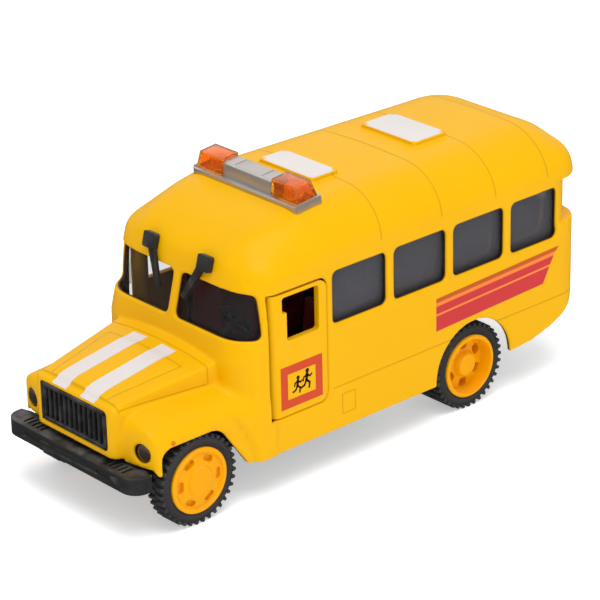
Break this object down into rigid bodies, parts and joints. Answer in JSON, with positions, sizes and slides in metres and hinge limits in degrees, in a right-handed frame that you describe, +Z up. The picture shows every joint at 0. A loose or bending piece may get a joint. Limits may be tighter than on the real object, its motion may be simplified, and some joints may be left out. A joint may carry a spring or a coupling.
{
  "type": "toy bus",
  "caption": "Bonneted toy school bus with a domed shell, roof light bar, hinged cab doors, lugged tyres on axles and a geared friction drive.",
  "frame": {"origin": "middle of the bounding box on the ground plane, under the tyres", "axes": "-Y is the front of the bus, +X its own left side, +Z up"},
  "size_m": [0.066, 0.1834, 0.0893],
  "materials": {
    "yellow_shell": "smooth glossy moulded plastic",
    "yellow_hub": "moulded plastic",
    "tyre_rubber": "matt soft rubber",
    "screen_clear": "clear plastic",
    "smoked_clear": "smoked clear plastic",
    "black_plastic": "fine grained plastic",
    "dark_grey_plastic": "fine grained plastic",
    "dark_red_plastic": "moulded plastic",
    "dark_lamp": "glossy dark plastic",
    "red_lamp": "glossy red plastic",
    "silver_plastic": "silver painted plastic",
    "amber_clear": "clear amber plastic",
    "white_plastic": "moulded plastic",
    "bright_steel": "bright drawn steel",
    "gear_plastic": "natural nylon",
    "case_plastic": "natural plastic"
  },
  "bodies": {
    "bus_body": {"body_shell": "yellow_shell", "chassis_plate": "black_plastic", "cabin_floor": "dark_grey_plastic", "cab_seats": "dark_red_plastic", "passenger_seats": "dark_red_plastic", "dashboard": "dark_grey_plastic", "steering_wheel": "dark_grey_plastic", "windscreen": "screen_clear", "left_side_glazing": "smoked_clear", "right_side_glazing": "smoked_clear", "rear_glazing": "smoked_clear", "radiator_grille": "black_plastic", "left_headlight": "dark_lamp", "right_headlight": "dark_lamp", "left_tail_lamp": "red_lamp", "right_tail_lamp": "red_lamp", "front_bumper": "black_plastic", "left_wiper": "black_plastic", "right_wiper": "black_plastic", "light_bar_base": "silver_plastic", "light_bar_centre": "silver_plastic", "left_beacon_lens": "amber_clear", "right_beacon_lens": "amber_clear", "left_beacon": "white_plastic", "right_beacon": "white_plastic", "idler_pin": "bright_steel", "left_motor_case": "case_plastic", "right_motor_case": "case_plastic", "body_screws": "bright_steel", "motor_screws": "bright_steel"},
    "left_door_set": {"left_door": "yellow_shell"},
    "right_door_set": {"right_door": "yellow_shell"},
    "front_wheelset": {"front_axle": "bright_steel", "front_left_hub": "yellow_hub", "front_left_tyre": "tyre_rubber", "front_right_hub": "yellow_hub", "front_right_tyre": "tyre_rubber"},
    "rear_wheelset": {"rear_axle": "bright_steel", "rear_left_hub": "yellow_hub", "rear_left_tyre": "tyre_rubber", "rear_right_hub": "yellow_hub", "rear_right_tyre": "tyre_rubber", "drive_gear": "gear_plastic"},
    "idler": {"idler_gear": "gear_plastic"},
    "flywheel": {"flywheel_shaft": "bright_steel", "left_flywheel_disc": "bright_steel", "right_flywheel_disc": "bright_steel"}
  },
  "joints": [
    {"name": "left_door_swing", "type": "hinge", "parent": "bus_body", "child": "left_door_set", "pos_m": [0.0304, -0.03825, 0.044], "axis": [0, 0, -1], "range_deg": [0, 68]},
    {"name": "right_door_swing", "type": "hinge", "parent": "bus_body", "child": "right_door_set", "pos_m": [-0.0304, -0.03825, 0.044], "axis": [0, 0, 1], "range_deg": [0, 68]},
    {"name": "front_axle_spin", "type": "hinge", "parent": "bus_body", "child": "front_wheelset", "pos_m": [0, -0.06795, 0.0141], "axis": [1, 0, 0], "continuous": true},
    {"name": "rear_axle_spin", "type": "hinge", "parent": "bus_body", "child": "rear_wheelset", "pos_m": [0, 0.04205, 0.0141], "axis": [1, 0, 0], "continuous": true},
    {"name": "idler_spin", "type": "hinge", "parent": "bus_body", "child": "idler", "pos_m": [0, 0.03269, 0.01575], "axis": [1, 0, 0], "continuous": true},
    {"name": "flywheel_spin", "type": "hinge", "parent": "bus_body", "child": "flywheel", "pos_m": [0, 0.02419, 0.01575], "axis": [1, 0, 0], "continuous": true}
  ],
  "couplings": [
    {"joint": "idler_spin", "follows": "rear_axle_spin", "ratio": -2.8},
    {"joint": "flywheel_spin", "follows": "rear_axle_spin", "ratio": 6.72}
  ]
}
